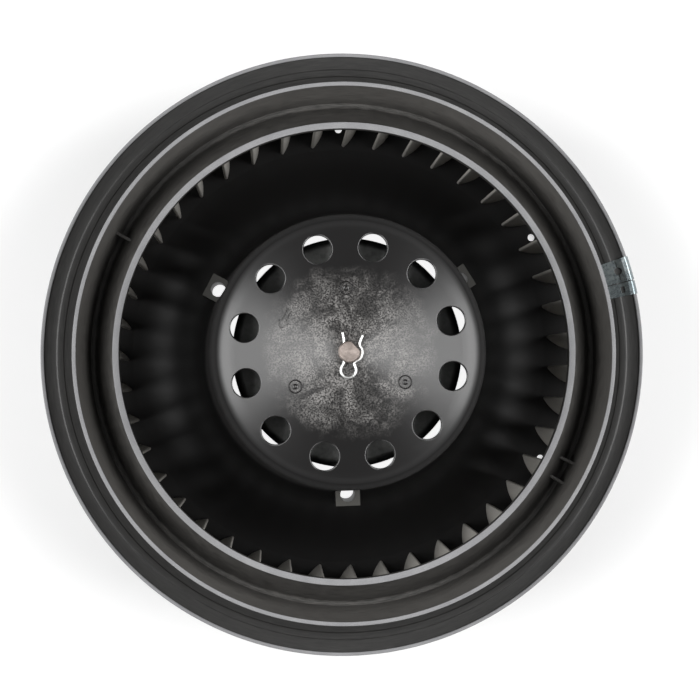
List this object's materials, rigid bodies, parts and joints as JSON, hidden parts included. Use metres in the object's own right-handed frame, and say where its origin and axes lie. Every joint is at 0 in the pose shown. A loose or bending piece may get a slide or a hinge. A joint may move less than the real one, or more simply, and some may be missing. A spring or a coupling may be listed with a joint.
{
  "type": "blower wheel with motor",
  "caption": "Forward-curved squirrel-cage blower wheel with a vented domed hub and labyrinth inlet ring, fixed by a hairpin cotter to the shaft of a brushed DC motor nested in the hub.",
  "frame": {"origin": "on the shaft's axis, in the plane of the motor's rear face", "axes": "+Z along the shaft from the motor's rear face towards the wheel's inlet; +X and +Y across the wheel, with the socket at -Y"},
  "size_m": [0.2416, 0.2416, 0.142],
  "materials": {
    "filled_polypropylene": "satin moulded, dusty",
    "zinc_plated_steel": "bright zinc",
    "spring_steel": "bright drawn",
    "ground_steel": "ground",
    "electrical_steel": "stamped",
    "ferrite": "fired, matt",
    "fibre_sheet": "matt",
    "enamelled_copper": "enamelled",
    "copper": "turned",
    "phenolic": "moulded",
    "sintered_bronze": "sintered, oily",
    "wool_felt": "felted",
    "nylon": "moulded",
    "carbon": "pressed",
    "brass": "rolled sheet",
    "tinned_brass": "tinned"
  },
  "bodies": {
    "motor": {"motor_can": "zinc_plated_steel", "magnet_1": "ferrite", "magnet_2": "ferrite", "magnet_3": "ferrite", "magnet_4": "ferrite", "magnet_spring_1": "spring_steel", "magnet_spring_2": "spring_steel", "magnet_spring_3": "spring_steel", "magnet_spring_4": "spring_steel", "bearing_front": "sintered_bronze", "bearing_rear": "sintered_bronze", "oil_felt_front": "wool_felt", "oil_felt_rear": "wool_felt", "bearing_retainer_front": "spring_steel", "bearing_retainer_rear": "spring_steel", "rear_end_bell": "nylon", "end_bell_screws": "zinc_plated_steel", "terminal_negative": "tinned_brass", "terminal_positive": "tinned_brass", "brush_card": "phenolic", "brush_card_screws": "zinc_plated_steel", "brush_holder_a": "brass", "brush_holder_b": "brass", "brush_spring_a": "spring_steel", "brush_spring_b": "spring_steel", "choke_rod_1": "ferrite", "choke_rod_2": "ferrite", "choke_coil_1": "enamelled_copper", "choke_coil_2": "enamelled_copper"},
    "rotor": {"motor_shaft": "ground_steel", "wheel_hub": "filled_polypropylene", "wheel_blades": "filled_polypropylene", "inlet_ring": "filled_polypropylene", "balance_clip_large": "zinc_plated_steel", "balance_clip_small": "zinc_plated_steel", "hairpin_cotter": "spring_steel", "armature_core": "electrical_steel", "slot_insulator_rear": "fibre_sheet", "slot_insulator_front": "fibre_sheet", "armature_winding": "enamelled_copper", "commutator_core": "phenolic", "commutator_bars": "copper", "shaft_spacer_front": "ground_steel", "shaft_spacer_rear": "ground_steel", "thrust_washer_front": "ground_steel", "thrust_washer_rear": "ground_steel", "oil_slinger": "nylon"},
    "brush_a": {"carbon_brush_a": "carbon"},
    "brush_b": {"carbon_brush_b": "carbon"}
  },
  "joints": [
    {"name": "rotor_spin", "type": "hinge", "parent": "motor", "child": "rotor", "pos_m": [0, 0, 0], "axis": [0, 0, 1], "continuous": true},
    {"name": "brush_a_slide", "type": "slide", "parent": "motor", "child": "brush_a", "axis": [1, 0, 0], "range_m": [0, 0.004], "stiffness_N_per_m": 120, "springref_m": -0.006, "deforming": ["brush_spring_a"]},
    {"name": "brush_b_slide", "type": "slide", "parent": "motor", "child": "brush_b", "axis": [0, 1, 0], "range_m": [0, 0.004], "stiffness_N_per_m": 120, "springref_m": -0.006, "deforming": ["brush_spring_b"]}
  ]
}
